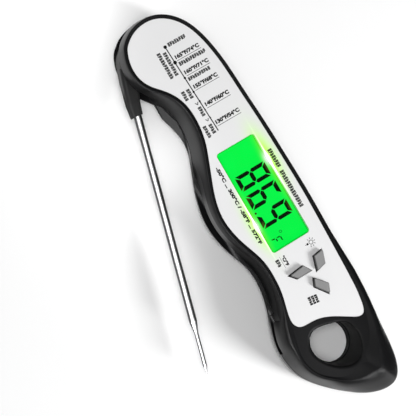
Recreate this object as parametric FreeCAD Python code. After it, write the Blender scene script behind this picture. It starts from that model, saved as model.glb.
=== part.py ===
"""Folding digital meat thermometer, built as an assembly of separate pieces.

Frame, in millimetres: the handle lies on its back on the plane z = 0, with its face up (+Z).
+X runs along the handle from the probe head to the tail, and -Y is the side with the finger
grips, where the probe swings out. Z = 0, X = 0, Y = 0 is a point of the flat back face.
"""
import FreeCAD, Part
import math
import os

V = FreeCAD.Vector

# ---------------------------------------------------------------- driving dimensions
THICKNESS = 17.5          # back face to the top of the rim
PARTING_Z = 8.0           # where the two housings meet, and the probe's mid height
FACE_FLOOR_Z = 15.9       # floor of the recess that holds the faceplate
CEILING_Z = 14.5          # inside of the front housing's top wall
FLOOR_Z = 2.2             # inside of the rear housing's back wall
WALL = 2.6                # side wall, measured inwards from the widest outline

ROLL_LIMIT = 3.0          # the edge rolls over within this inset, and bevels beyond it
GRIP_DRAFT = 0.7          # share of the lip's inset that the grips' walls slope through
BACK_INSET = 4.4          # widest outline to the edge of the flat back
RIM_WIDTH = 1.25          # band between the lip and the faceplate
LIP_FLAT = 0.15           # flat crest of the lip
RIM_TOP_Z = 17.2          # the band slopes down to here from the lip
LEDGE = 1.0               # how far the front housing stands back above the probe's shelf
LEDGE_END_X = 40.3
NECK_LEDGE_Z = 4.5        # underside of the ledge at the neck
NECK_LEDGE_EDGE = 0.7     # upright edge of that ledge
NECK_LEDGE_SLOPE = (2.0, 2.3)    # rise and depth of its sloping top
OUTLINE_SAMPLES = 96

PLATE_THICKNESS = 1.2
PLATE_GAP = 0.06

PIVOT = V(-65.5, -8.5, 0)     # hinge of the probe
PROBE_OFFSET = 7.3            # pivot to the probe's axis, square to the probe
OPEN_ANGLE = 15.8             # how far the probe is swung out, in degrees
PROBE_Z = PARTING_Z
HUB_RADIUS = 9.5
HUB_HEIGHT = 6.6
HUB_POCKET_RADIUS = 9.85
HUB_POCKET_HEIGHT = 7.4
PIN_RADIUS = 3.0
PIN_BOTTOM_Z = 2.0
PIN_TOP_Z = 12.9
RUNNING_CLEARANCE = 0.05
SLOT_CLEARANCE = 0.7          # round the folded tube and tip
TIP_SLOT_X = 38.0             # where the slot steps down to the tip's width
TUBE_RADIUS = 1.5
TUBE_WALL = 0.3
TIP_RADIUS = 0.8
TAPER_START = 95.8            # along the probe from the foot of its perpendicular
TAPER_END = 99.8
PROBE_END = 115.1
BOOT_END = 19.0

WINDOW_CENTRE = (-2.3, 2.9)
WINDOW_SIZE = (41.3, 16.7)
GLASS_SIZE = (42.6, 18.0)

HOLE_CENTRE = (58.0, 1.0)     # hanging hole in the tail
HOLE_RADIUS = 7.8
HOLE_BORE_LENGTH = 3.4
HOLE_EDGE_ROLL = 0.9

BOARD_Z = 11.6
BOARD_THICKNESS = 1.0
BOARD_TOP = BOARD_Z + BOARD_THICKNESS

CELL_CENTRE = (2.0, 2.0)
CELL_RADIUS = 10.0
CELL_HEIGHT = 3.2
CELL_Z = 3.4
COVER_RADIUS = 12.0
COVER_GAP = 0.2

BUTTON_TOP = 18.6
BUTTON_TRAVEL = 0.4
BUTTON_GAP = 0.25
BUTTON_FLANGE_DROP = 0.55     # inside of the top wall to the underside of the button's flange
BUTTONS = {
    "button_light": [(26.1, 11.4), (26.6, 7.2), (32.0, 5.5), (31.1, 9.6)],
    "button_unit": [(27.5, 1.8), (28.1, -4.6), (30.6, -2.4), (30.7, 3.9)],
    "button_hold": [(33.3, 3.0), (36.3, 1.6), (41.3, 5.4), (37.8, 7.0)],
}

MAGNETS = {"magnet_upper": (-34.0, 4.0), "magnet_lower": (32.0, 4.0)}
MAGNET_RADIUS = 5.0
MAGNET_HEIGHT = 2.0

HOUSING_SCREWS = [(-60.5, 8.0), (-30.5, 12.8), (-29.5, -4.8), (25.0, -8.0), (42.0, 13.8)]
BOARD_SCREWS = [(-44.5, 8.5), (-45.0, -2.0), (41.0, -6.0), (23.8, 13.4)]

# Widest outline, from the head's grip side along the finger grips to the tail and back.
# Each entry holds X, Y and how far inside that point the lip lies.
OUTLINE = [
    (-72.3, -16.4, 1.2), (-66.3, -18.4, 1.2), (-60.0, -18.2, 1.2), (-54.6, -15.9, 1.4),
    (-50.2, -12.6, 1.9), (-45.8, -10.0, 2.3), (-41.0, -8.8, 2.4), (-35.5, -8.8, 2.4),
    (-30.0, -9.8, 2.4), (-24.8, -11.7, 2.4), (-19.0, -14.1, 2.4), (-13.0, -16.4, 2.3),
    (-7.0, -18.0, 2.2), (-1.5, -18.5, 2.1), (4.0, -18.0, 2.1), (9.0, -16.7, 2.0),
    (14.3, -14.7, 1.9), (19.5, -13.0, 1.8), (26.0, -12.6, 1.8), (32.0, -13.5, 2.1),
    (38.0, -15.4, 2.6), (44.0, -17.7, 3.2), (50.0, -19.1, 3.1), (56.0, -19.0, 2.1),
    (62.0, -17.3, 1.6), (68.0, -13.3, 1.9), (74.0, -7.5, 3.4), (79.3, -0.8, 6.1),
    (82.2, 5.5, 8.8), (82.9, 10.6, 10.0), (81.9, 14.0, 9.8), (78.9, 16.3, 10.0),
    (74.0, 17.9, 9.0), (66.0, 19.0, 6.7), (56.0, 19.7, 4.4), (44.0, 20.1, 3.3),
    (32.0, 20.2, 2.9), (20.0, 20.1, 2.5), (5.0, 19.7, 1.8), (-10.0, 19.1, 1.5),
    (-25.0, 18.5, 1.4), (-40.0, 17.5, 1.3), (-50.0, 16.8, 1.2), (-58.0, 15.7, 1.2),
    (-64.5, 14.1, 1.2), (-70.0, 11.7, 1.2), (-74.3, 8.4, 1.2), (-77.3, 4.4, 1.2),
    (-78.9, 0.0, 1.2), (-79.1, -4.5, 1.2), (-78.1, -9.0, 1.2), (-75.9, -13.0, 1.2),
]

# Edge of the faceplate across the tail end: a wave that goes round the hanging hole.
PLATE_WAVE = [
    (37.5, -11.5), (41.6, -12.4), (44.1, -12.2), (45.8, -10.9), (46.5, -8.5),
    (46.7, -5.0), (47.6, -1.1), (49.3, 2.6), (51.3, 5.9), (53.2, 8.9),
    (54.3, 11.3), (54.2, 12.9), (52.4, 14.2), (49.4, 14.9),
]

# Front mouth of the hanging hole, a rounded funnel round the bore.
HOLE_MOUTH = [
    (48.9, -5.4), (50.6, -10.2), (55.0, -12.2), (60.6, -10.8), (65.4, -7.0),
    (68.4, -1.6), (68.2, 3.4), (64.0, 7.2), (58.0, 8.3), (53.0, 6.2),
    (50.2, 0.4),
]


# ---------------------------------------------------------------- helpers
def cylinder(x, y, z0, z1, radius):
    return Part.makeCylinder(radius, z1 - z0, V(x, y, z0))


def ring(x, y, z0, z1, outer, inner):
    return cylinder(x, y, z0, z1, outer).cut(cylinder(x, y, z0 - 1, z1 + 1, inner))


def box(x0, x1, y0, y1, z0, z1):
    return Part.makeBox(x1 - x0, y1 - y0, z1 - z0, V(x0, y0, z0))


def centred_box(centre, size, z0, z1):
    half_x, half_y = size[0] / 2, size[1] / 2
    return box(centre[0] - half_x, centre[0] + half_x, centre[1] - half_y,
               centre[1] + half_y, z0, z1)


def round_upright_edges(solid, radius):
    """Fillet the edges of a prism that run along Z."""
    edges = [e for e in solid.Edges
             if abs(e.tangentAt(e.FirstParameter).z) > 0.99]
    return solid.makeFillet(radius, edges)


def polygon_prism(points, z0, z1):
    corners = [V(x, y, z0) for x, y in points]
    face = Part.Face(Part.makePolygon(corners + corners[:1]))
    return face.extrude(V(0, 0, z1 - z0))


def grown_polygon(points, distance):
    """Move each side of an anticlockwise polygon outwards by a distance."""
    count = len(points)
    sides = []
    for i in range(count):
        (x0, y0), (x1, y1) = points[i], points[(i + 1) % count]
        length = math.hypot(x1 - x0, y1 - y0)
        normal = ((y1 - y0) / length, -(x1 - x0) / length)
        sides.append((normal, normal[0] * x0 + normal[1] * y0 + distance))
    grown = []
    for i in range(count):
        (a, b), c = sides[i - 1]
        (d, e), f = sides[i]
        det = a * e - b * d
        grown.append(((c * e - b * f) / det, (a * f - c * d) / det))
    return grown


def closed_spline(points, z=0.0):
    curve = Part.BSplineCurve()
    curve.interpolate(Points=[V(x, y, z) for x, y in points], PeriodicFlag=True)
    return curve


def spline_prism(points, z0, z1):
    face = Part.Face(Part.Wire([closed_spline(points, z0).toShape()]))
    return face.extrude(V(0, 0, z1 - z0))


def smoothstep(low, high, value):
    t = min(max((value - low) / (high - low), 0.0), 1.0)
    return t * t * (3 - 2 * t)


# ---------------------------------------------------------------- the handle's outer form
def outline_stations():
    """Points of the widest outline, each with the way inwards and its lip's inset."""
    curve = Part.BSplineCurve()
    curve.interpolate(Points=[V(*entry) for entry in OUTLINE], PeriodicFlag=True)
    first, last = curve.FirstParameter, curve.LastParameter
    stations = []
    for i in range(OUTLINE_SAMPLES):
        u = first + (last - first) * i / OUTLINE_SAMPLES
        x, y, lip = curve.value(u)
        tangent = curve.tangent(u)[0]
        normal = V(-tangent.y, tangent.x, 0)
        normal.normalize()
        to_hole = V(62.0 - x, -0.5 - y, 0)
        to_hole.normalize()
        blend = smoothstep(50, 68, x)
        inward = normal * (1 - blend) + to_hole * blend
        inward.normalize()
        stations.append((V(x, y, 0), inward, lip))
    return stations


STATIONS = outline_stations()


def rounding(t, power=3):
    """Share of the full inset at a share t of the height: upright, then rolling over."""
    return 1 - math.sqrt(max(0.0, 1 - t ** power))


def front_inset(lip, z):
    """The grips slope and have a tight roll at the lip; the tail rolls softly and is bevelled."""
    t = (z - PARTING_Z) / (THICKNESS - PARTING_Z)
    roll = min(lip, ROLL_LIMIT)
    grip = GRIP_DRAFT * t + (1 - GRIP_DRAFT) * rounding(t, 8)
    soft = smoothstep(2.5, 3.2, lip)
    share = grip * (1 - soft) + rounding(t) * soft
    return roll * share + (lip - roll) * max(0.0, (t - 0.25) / 0.75)


def back_inset(lip, z):
    return BACK_INSET * rounding((PARTING_Z - z) / PARTING_Z)


def inset_points(inset):
    """The outline moved inwards; inset is a number or a function of the lip's inset."""
    points = []
    for point, inward, lip in STATIONS:
        distance = inset(lip) if callable(inset) else inset
        moved = point + inward * distance
        points.append((moved.x, moved.y))
    return points


def loft_levels(levels, inset_at):
    wires = []
    for z in levels:
        points = inset_points(lambda lip: inset_at(lip, z))
        wires.append(Part.Wire([closed_spline(points, z).toShape()]))
    return Part.makeLoft(wires, True, False)


def inset_prism(inset, z0, z1):
    return spline_prism(inset_points(inset), z0, z1)


def lip_slope():
    """Shallow dish inside the lip; its slope widens out as the tail's bevel grows."""
    drop = THICKNESS - RIM_TOP_Z
    wires = []
    for z, side in ((RIM_TOP_Z, 1), (THICKNESS + drop, -1)):
        reach = lambda lip: RIM_WIDTH - 0.3 + 0.6 * max(0.0, lip - ROLL_LIMIT)
        points = inset_points(lambda lip: lip + LIP_FLAT + side * reach(lip))
        wires.append(Part.Wire([closed_spline(points, z).toShape()]))
    return Part.makeLoft(wires, True, True)


def plate_points(shrink=0.0):
    """Faceplate edge: the inner edge of the lip's slope, closed by the wave across the tail."""
    inner = inset_points(lambda lip: lip + RIM_WIDTH + shrink)
    tail = max(range(len(inner)), key=lambda i: inner[i][0])
    grip_side = [p for p in inner[:tail] if p[0] < 35.0]
    wave = [(x - shrink, y * (1 - shrink / 10)) for x, y in PLATE_WAVE]
    smooth_side = [p for p in inner[tail:] if p[0] < 46.0]
    return grip_side + wave + smooth_side


# ---------------------------------------------------------------- cutters shared by the housings
def hub_pocket(z0, z1):
    return cylinder(PIVOT.x, PIVOT.y, z0, z1, HUB_POCKET_RADIUS)


def swing_space(z0, z1):
    """Room for the boot from the folded side, round the grip side, to straight ahead."""
    reach = PROBE_OFFSET + 3.4
    beside = box(PIVOT.x, -44.0, -40.0, PIVOT.y - PROBE_OFFSET + 3.6, z0, z1)
    ahead = box(-100.0, PIVOT.x, -40.0, PIVOT.y + reach, z0, z1)
    return beside.fuse(ahead)


def probe_slot():
    """Slot along the grip side that the folded tube and tip lie in; it is lower for the tip."""
    axis_y = PIVOT.y - PROBE_OFFSET
    slot = None
    for x0, x1, radius in ((-60.0, TIP_SLOT_X, TUBE_RADIUS), (TIP_SLOT_X - 1.0, 52.0, TIP_RADIUS)):
        half = radius + SLOT_CLEARANCE
        run = box(x0, x1, -40.0, axis_y, PROBE_Z - half, PROBE_Z + half)
        groove = Part.makeCylinder(half, x1 - x0, V(x0, axis_y, PROBE_Z), V(1, 0, 0))
        run = run.fuse(groove)
        slot = slot.fuse(run) if slot else run
    return slot


def hanging_hole():
    """Straight bore at the back that opens into a rounded funnel, rolled over at the face."""
    x, y = HOLE_CENTRE
    mouth = closed_spline(HOLE_MOUTH)
    samples = 4 * len(HOLE_MOUTH)
    step = (mouth.LastParameter - mouth.FirstParameter) / samples
    start = HOLE_RADIUS + 0.25
    height = RIM_TOP_Z - HOLE_BORE_LENGTH
    rings = []
    for z in (HOLE_BORE_LENGTH, 6.0, 9.0, 12.0, 15.0, 16.2, 16.7, 17.0, RIM_TOP_Z, 19.0):
        share = min((z - HOLE_BORE_LENGTH) / height, 1.0)
        roll = min(max((z - RIM_TOP_Z + HOLE_EDGE_ROLL) / HOLE_EDGE_ROLL, 0.0), 1.0)
        edge = HOLE_EDGE_ROLL * (1 - math.sqrt(1 - roll ** 2))
        points = []
        for i in range(samples):
            arm = mouth.value(mouth.FirstParameter + step * i) - V(x, y, 0)
            radius = start + (arm.Length - HOLE_EDGE_ROLL - start) * share + edge
            arm.normalize()
            points.append((x + arm.x * radius, y + arm.y * radius))
        rings.append(Part.Wire([closed_spline(points, z).toShape()]))
    bore = cylinder(x, y, -1, HOLE_BORE_LENGTH + 0.5, HOLE_RADIUS)
    return Part.makeLoft(rings, True, True).fuse(bore)


def cavity(z0, z1):
    """Room for the electronics, kept clear of the probe slot."""
    room = inset_prism(WALL, z0, z1)
    return room.common(box(-50.5, 46.5, -11.6, 40.0, z0 - 1, z1 + 1))


def parting_groove(z0, z1):
    """Fine shadow gap round the joint of the housings."""
    return inset_prism(-2.0, z0, z1).cut(inset_prism(0.3, z0 - 1, z1 + 1))


def ledge_space(z0, z1):
    """Strip taken off the front housing's side, so that the probe's shelf shows below it."""
    depths = []
    for point, inward, lip in STATIONS:
        moved = point + inward * (-0.3 + (LEDGE + 0.3) * smoothstep(-30, -16, point.x))
        depths.append((moved.x, moved.y))
    strip = inset_prism(-2.0, z0, z1).cut(spline_prism(depths, z0 - 1, z1 + 1))
    return strip.common(box(-29.0, LEDGE_END_X, -40.0, -5.0, z0 - 1, z1 + 1))


# ---------------------------------------------------------------- housings
def front_housing():
    levels = (PARTING_Z, 10.4, 12.8, 14.8, 16.0, 16.7, 17.1, 17.35, THICKNESS)
    body = loft_levels(levels, front_inset)
    body = body.cut(lip_slope())
    body = body.cut(ledge_space(PARTING_Z - 1, THICKNESS + 1))
    body = body.cut(spline_prism(plate_points(), FACE_FLOOR_Z, THICKNESS + 1))
    body = body.cut(cavity(PARTING_Z - 1, CEILING_Z))
    for x, y in HOUSING_SCREWS[1:]:
        body = body.fuse(cylinder(x, y, PARTING_Z, CEILING_Z, 2.4))
    for x, y in BOARD_SCREWS:
        body = body.fuse(cylinder(x, y, BOARD_TOP, CEILING_Z, 1.7))
    body = body.cut(centred_box(WINDOW_CENTRE, (GLASS_SIZE[0] + 0.4, GLASS_SIZE[1] + 0.4),
                                CEILING_Z - 1, THICKNESS))
    for points in BUTTONS.values():
        hole = polygon_prism(grown_polygon(points, BUTTON_GAP), CEILING_Z - 1, THICKNESS)
        body = body.cut(hole)
    top = PARTING_Z + HUB_POCKET_HEIGHT / 2
    body = body.cut(hub_pocket(PARTING_Z - 1, top))
    body = body.cut(swing_space(PARTING_Z - 1, top))
    body = body.cut(probe_slot())
    body = body.cut(hanging_hole())
    body = body.cut(parting_groove(PARTING_Z - 1, PARTING_Z + 0.3))
    body = body.cut(housing_gasket())
    # seat of the hinge pin, and the channel that takes its lead to the board
    body = body.cut(cylinder(PIVOT.x, PIVOT.y, top - 0.1, PIN_TOP_Z, PIN_RADIUS))
    body = body.cut(cylinder(PIVOT.x, PIVOT.y, top, CEILING_Z, 1.6))
    body = body.cut(box(PIVOT.x - 1.6, -48.0, PIVOT.y - 1.2, PIVOT.y + 1.6, 12.6, CEILING_Z))
    body = body.cut(box(-53.0, -48.0, PIVOT.y - 1.2, 0.0, 12.6, CEILING_Z))
    for x, y in HOUSING_SCREWS:
        body = body.cut(cylinder(x, y, PARTING_Z - 1, 13.0, 0.8))
    for x, y in BOARD_SCREWS:
        body = body.cut(cylinder(x, y, BOARD_TOP - 1, 14.3, 0.6))
    return body


def neck_ledge():
    """Strip of the rear housing that stands out past the front one at the neck."""
    outer = [(-52.5, -15.4), (-49.7, -14.0), (-45.0, -12.5), (-40.0, -11.0),
             (-35.2, -9.9), (-30.5, -9.9), (-26.0, -11.0), (-22.0, -12.2)]
    rise, depth = NECK_LEDGE_SLOPE
    foot = NECK_LEDGE_Z + NECK_LEDGE_EDGE
    wires = []
    for z, inwards in ((NECK_LEDGE_Z, 0.0), (foot, 0.0), (foot + rise, depth)):
        corners = [V(x, y + inwards, z) for x, y in outer]
        edge = Part.BSplineCurve()
        edge.interpolate(corners)
        inner = [V(outer[-1][0], -7.0, z), V(outer[0][0], -7.0, z)]
        sides = [Part.LineSegment(corners[-1], inner[0]), Part.LineSegment(inner[0], inner[1]),
                 Part.LineSegment(inner[1], corners[0])]
        wires.append(Part.Wire([edge.toShape()] + [side.toShape() for side in sides]))
    return Part.makeLoft(wires, True, True)


def rear_housing():
    levels = (0.0, 0.3, 1.0, 2.4, 4.4, 6.4, PARTING_Z)
    body = loft_levels(levels, back_inset)
    body = body.fuse(neck_ledge())
    body = body.cut(cavity(FLOOR_Z, PARTING_Z + 1))
    for x, y in HOUSING_SCREWS[1:]:
        body = body.fuse(cylinder(x, y, FLOOR_Z - 0.5, PARTING_Z, 2.4))
    for x, y in MAGNETS.values():
        body = body.fuse(ring(x, y, FLOOR_Z - 0.2, FLOOR_Z + 1.4, MAGNET_RADIUS + 1.2,
                              MAGNET_RADIUS))
    low = PARTING_Z - HUB_POCKET_HEIGHT / 2
    body = body.cut(hub_pocket(low, PARTING_Z + 1))
    body = body.cut(swing_space(low, PARTING_Z + 1))
    body = body.cut(probe_slot())
    body = body.cut(hanging_hole())
    body = body.cut(parting_groove(PARTING_Z - 0.3, PARTING_Z + 1))
    body = body.cut(housing_gasket())
    body = body.cut(cylinder(PIVOT.x, PIVOT.y, PIN_BOTTOM_Z, low + 0.1, PIN_RADIUS))
    for x, y in HOUSING_SCREWS:
        body = body.cut(cylinder(x, y, -1, PARTING_Z + 1, 1.1))
        body = body.cut(cylinder(x, y, -1, 1.8, 2.0))
    # opening of the battery cover, with the two notches of its bayonet
    x, y = CELL_CENTRE
    body = body.cut(cylinder(x, y, -1, FLOOR_Z + 1, COVER_RADIUS + COVER_GAP))
    for angle in (40, 220):
        body = body.cut(cover_lug(-1, FLOOR_Z + 1, COVER_GAP, angle))
    return body


def cover_lug(z0, z1, grow, angle):
    """One bayonet lug of the battery cover, a block that reaches past its rim."""
    x, y = CELL_CENTRE
    reach = COVER_RADIUS + 1.3 + grow
    lug = box(0, reach, -2.5 - grow, 2.5 + grow, z0, z1)
    lug = lug.common(cylinder(0, 0, z0, z1, reach))
    lug.rotate(V(0, 0, 0), V(0, 0, 1), angle)
    lug.translate(V(x, y, 0))
    return lug


def housing_gasket():
    """Cord of sealing rubber that lies in the joint, round the electronics."""
    outer = inset_prism(1.5, PARTING_Z - 0.35, PARTING_Z + 0.35)
    inner = inset_prism(2.1, PARTING_Z - 1, PARTING_Z + 1)
    span = box(-40.0, 46.0, -2.0, 40.0, 0, THICKNESS)
    return outer.cut(inner).common(span)


# ---------------------------------------------------------------- face
def faceplate():
    z1 = FACE_FLOOR_Z + PLATE_THICKNESS
    plate = spline_prism(plate_points(PLATE_GAP), FACE_FLOOR_Z, z1)
    window = round_upright_edges(centred_box(WINDOW_CENTRE, WINDOW_SIZE, FACE_FLOOR_Z - 1, z1 + 1), 1.2)
    plate = plate.cut(window)
    for points in BUTTONS.values():
        plate = plate.cut(polygon_prism(grown_polygon(points, BUTTON_GAP), 0, z1 + 1))
    return plate


def lcd_window():
    z1 = FACE_FLOOR_Z + PLATE_THICKNESS - 0.15
    size = (WINDOW_SIZE[0] - 2 * PLATE_GAP, WINDOW_SIZE[1] - 2 * PLATE_GAP)
    return round_upright_edges(centred_box(WINDOW_CENTRE, size, FACE_FLOOR_Z, z1), 1.15)


def lcd_glass():
    lower = centred_box(WINDOW_CENTRE, GLASS_SIZE, 13.9, 14.85)
    upper = centred_box(WINDOW_CENTRE, (GLASS_SIZE[0], GLASS_SIZE[1] - 2.4), 14.85, 15.8)
    return lower.fuse(upper).removeSplitter()


def lcd_frame():
    outer = centred_box(WINDOW_CENTRE, (GLASS_SIZE[0] + 3.4, GLASS_SIZE[1] + 3.0), BOARD_TOP, 14.4)
    inner = centred_box(WINDOW_CENTRE, (GLASS_SIZE[0] + 0.4, GLASS_SIZE[1] + 0.4), 0, 20)
    return round_upright_edges(outer, 1.0).cut(inner)


def backlight_panel():
    centre = (WINDOW_CENTRE[0], WINDOW_CENTRE[1] + 1.2)
    panel = centred_box(centre, (GLASS_SIZE[0] - 4.0, GLASS_SIZE[1] - 2.6), BOARD_TOP, 13.85)
    return round_upright_edges(panel, 0.5)


def backlight_led():
    x = WINDOW_CENTRE[0] + GLASS_SIZE[0] / 2 - 0.9
    return box(x - 0.9, x + 0.9, 2.4, 5.4, BOARD_TOP, BOARD_TOP + 0.9)


def zebra_connector():
    y = WINDOW_CENTRE[1] - GLASS_SIZE[1] / 2 + 0.9
    half = GLASS_SIZE[0] / 2 - 2.0
    return box(WINDOW_CENTRE[0] - half, WINDOW_CENTRE[0] + half, y - 0.7, y + 0.7, BOARD_TOP, 13.9)


# ---------------------------------------------------------------- board
def circuit_board():
    board = inset_prism(WALL + 0.6, BOARD_Z, BOARD_TOP)
    board = board.common(box(-49.5, 45.5, -11.0, 40.0, 0, THICKNESS))
    for x, y in HOUSING_SCREWS:
        board = board.cut(cylinder(x, y, 0, THICKNESS, 2.8))
    for x, y in BOARD_SCREWS:
        board = board.cut(cylinder(x, y, 0, THICKNESS, 0.9))
    return board


def chip_cover():
    """Drop of black resin over the bonded chip."""
    radius = 4.5
    height = 1.3
    sphere_radius = (radius ** 2 + height ** 2) / (2 * height)
    ball = Part.makeSphere(sphere_radius, V(-14.0, 4.0, BOARD_Z - height + sphere_radius))
    return ball.common(cylinder(-14.0, 4.0, BOARD_Z - height - 1, BOARD_Z, radius + 1))


def button_middle(points):
    return sum(p[0] for p in points) / 4, sum(p[1] for p in points) / 4


def tact_switches():
    switches = []
    for points in BUTTONS.values():
        x, y = button_middle(points)
        base = centred_box((x, y), (3.4, 3.0), BOARD_TOP, BOARD_TOP + 0.35)
        switches.append(base.fuse(cylinder(x, y, BOARD_TOP, BOARD_TOP + 0.5, 0.9)))
    return Part.makeCompound(switches)


def button_springs():
    """Soft return rings that stand on the switches, just clear of the pressed buttons."""
    low = BOARD_TOP + 0.35
    high = CEILING_Z - BUTTON_FLANGE_DROP - BUTTON_TRAVEL - 0.05
    middles = [button_middle(points) for points in BUTTONS.values()]
    return Part.makeCompound([ring(x, y, low, high, 1.5, 1.15) for x, y in middles])


def button(points):
    cap = round_upright_edges(polygon_prism(points, CEILING_Z - 0.2, BUTTON_TOP), 0.45)
    top_edges = [e for e in cap.Edges if e.BoundBox.ZMin > BUTTON_TOP - 0.01]
    cap = cap.makeChamfer(0.25, top_edges)
    flange = polygon_prism(grown_polygon(points, 0.6), CEILING_Z - BUTTON_FLANGE_DROP, CEILING_Z - 0.1)
    x, y = button_middle(points)
    plunger = cylinder(x, y, CEILING_Z - 0.95, CEILING_Z - 0.4, 1.0)
    return cap.fuse(flange).fuse(plunger).removeSplitter()


def reed_switch():
    return Part.makeCylinder(1.0, 10.0, V(-48.0, -4.0, BOARD_Z - 1.05), V(0, 1, 0))


# ---------------------------------------------------------------- battery
def coin_cell():
    x, y = CELL_CENTRE
    can = cylinder(x, y, CELL_Z, CELL_Z + CELL_HEIGHT - 0.4, CELL_RADIUS)
    can = can.makeFillet(0.5, [e for e in can.Edges if e.BoundBox.ZMax < CELL_Z + 0.01])
    return can.fuse(cylinder(x, y, CELL_Z, CELL_Z + CELL_HEIGHT, CELL_RADIUS - 1.2)).removeSplitter()


def battery_holder():
    """Collar under the board that centres the cell."""
    x, y = CELL_CENTRE
    collar = ring(x, y, CELL_Z + 0.3, BOARD_Z, CELL_RADIUS + 1.7, CELL_RADIUS + 0.5)
    return collar.cut(box(x - 20, x, y - 3.0, y + 3.0, 0, THICKNESS))


def battery_contact_positive():
    """Bent strip that bears on the rim of the cell."""
    x = CELL_CENTRE[0] - CELL_RADIUS
    y = CELL_CENTRE[1]
    upright = box(x - 0.4, x, y - 2.0, y + 2.0, CELL_Z + 0.4, BOARD_Z)
    foot = box(x - 0.4, x + 2.5, y - 2.0, y + 2.0, BOARD_Z - 0.3, BOARD_Z)
    return upright.fuse(foot).removeSplitter()


def battery_contact_negative():
    """Leaf spring between the cell's small face and the board."""
    x, y = CELL_CENTRE
    top = CELL_Z + CELL_HEIGHT
    leaf = box(x - 5.0, x + 5.0, y - 2.0, y + 2.0, top, top + 0.3)
    leg = box(x + 4.7, x + 5.0, y - 2.0, y + 2.0, top, BOARD_Z)
    foot = box(x + 4.7, x + 7.5, y - 2.0, y + 2.0, BOARD_Z - 0.3, BOARD_Z)
    return leaf.fuse(leg).fuse(foot).removeSplitter()


def battery_cover():
    x, y = CELL_CENTRE
    cover = cylinder(x, y, 0.25, FLOOR_Z + 0.1, COVER_RADIUS)
    cover = cover.makeChamfer(0.4, [e for e in cover.Edges if e.BoundBox.ZMax < 0.26])
    cover = cover.fuse(ring(x, y, FLOOR_Z, FLOOR_Z + 0.95, COVER_RADIUS - 0.1, COVER_RADIUS - 1.3))
    for angle in (0, 180):
        lug = cover_lug(FLOOR_Z + 0.15, FLOOR_Z + 0.95, 0.0, angle)
        cover = cover.fuse(lug.cut(cylinder(x, y, 0, 9, COVER_RADIUS - 1.3)))
    slot = centred_box((x, y), (14.0, 1.8), -1, 1.15)
    slot = round_upright_edges(slot, 0.85)
    return cover.cut(slot).removeSplitter()


def battery_cover_seal():
    x, y = CELL_CENTRE
    minor = 0.35
    return Part.makeTorus(COVER_RADIUS - 1.3 - minor - 0.05, minor, V(x, y, FLOOR_Z + 0.1 + minor))


# ---------------------------------------------------------------- probe
def place_probe(shape):
    """From the probe's own frame (axis along +X, foot at x = 0) to the swung-out place."""
    shape.translate(V(PIVOT.x, PIVOT.y - PROBE_OFFSET, PROBE_Z))
    shape.rotate(V(PIVOT.x, PIVOT.y, 0), V(0, 0, 1), -OPEN_ANGLE)
    return shape


def boot_section(x, inner, outer, half_height, radius):
    """Rounded rectangle across the boot; inner is towards the pivot (+Y)."""
    half_width = (inner + outer) / 2
    middle = (inner - outer) / 2
    edges = []
    corners = [(1, 1), (-1, 1), (-1, -1), (1, -1)]
    arc_points = []
    for i, (sy, sz) in enumerate(corners):
        cy = middle + sy * (half_width - radius)
        cz = sz * (half_height - radius)
        start = 90 * i
        trio = []
        for step in (0, 45, 90):
            a = math.radians(start + step)
            trio.append(V(x, cy + radius * math.cos(a), cz + radius * math.sin(a)))
        arc_points.append(trio)
    for i, trio in enumerate(arc_points):
        edges.append(Part.Arc(*trio).toShape())
        following = arc_points[(i + 1) % 4]
        edges.append(Part.LineSegment(trio[2], following[0]).toShape())
    return Part.Wire(edges)


def probe_boot_form():
    sections = [
        boot_section(1.0, 3.6, 2.6, 3.2, 1.4),
        boot_section(6.0, 3.2, 2.95, 3.1, 1.4),
        boot_section(14.5, 1.95, 3.0, 2.6, 1.3),
        boot_section(BOOT_END + 1.0, 1.75, 2.4, 2.1, 1.2),
    ]
    form = Part.makeLoft(sections, True, True)
    slant = Part.makeBox(10, 20, 20, V(BOOT_END, -10, -10))
    slant.rotate(V(BOOT_END, 0, 0), V(0, 0, 1), 10)
    return form.cut(slant)


def probe_hub():
    """Disc that turns on the hinge pin, with the boot that grips the tube."""
    half = HUB_HEIGHT / 2
    disc = Part.makeCylinder(HUB_RADIUS, HUB_HEIGHT, V(0, PROBE_OFFSET, -half))
    disc = disc.makeFillet(0.5, [e for e in disc.Edges if len(e.Vertexes) == 1])
    hub = disc.fuse(probe_boot_form())
    bush_radius = PIN_RADIUS + 1.1
    hub = hub.cut(Part.makeCylinder(PIN_RADIUS + 0.5, HUB_HEIGHT + 2, V(0, PROBE_OFFSET, -half - 1)))
    for z0 in (-half - 1, half - 1.6):
        hub = hub.cut(Part.makeCylinder(bush_radius, 2.6, V(0, PROBE_OFFSET, z0)))
    hub = hub.cut(Part.makeCylinder(TUBE_RADIUS, 40, V(3.0, 0, 0), V(1, 0, 0)))
    # passage of the lead from the tube to the hollow pin, and the magnet's pocket
    hub = hub.cut(Part.makeCylinder(0.7, PROBE_OFFSET, V(2.2, 0, 0), V(0, 1, 0)))
    hub = hub.cut(Part.makeCylinder(0.7, 4, V(0.0, 0, 0), V(1, 0, 0)))
    hub = hub.cut(Part.makeCylinder(1.5, 3.0, V(-6.5, PROBE_OFFSET, -0.5)))
    for z0 in (-half - 1, half - 0.45):
        groove = Part.makeCylinder(6.4, 1.45, V(0, PROBE_OFFSET, z0))
        hub = hub.cut(groove.cut(Part.makeCylinder(5.2, 1.45, V(0, PROBE_OFFSET, z0))))
    return place_probe(hub)


def hub_bushes():
    half = HUB_HEIGHT / 2
    bushes = []
    for z0 in (-half, half - 1.6):
        outer = Part.makeCylinder(PIN_RADIUS + 1.1, 1.6, V(0, PROBE_OFFSET, z0))
        bore = Part.makeCylinder(PIN_RADIUS + RUNNING_CLEARANCE, 4, V(0, PROBE_OFFSET, z0 - 1))
        bushes.append(outer.cut(bore))
    return place_probe(Part.makeCompound(bushes))


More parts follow.
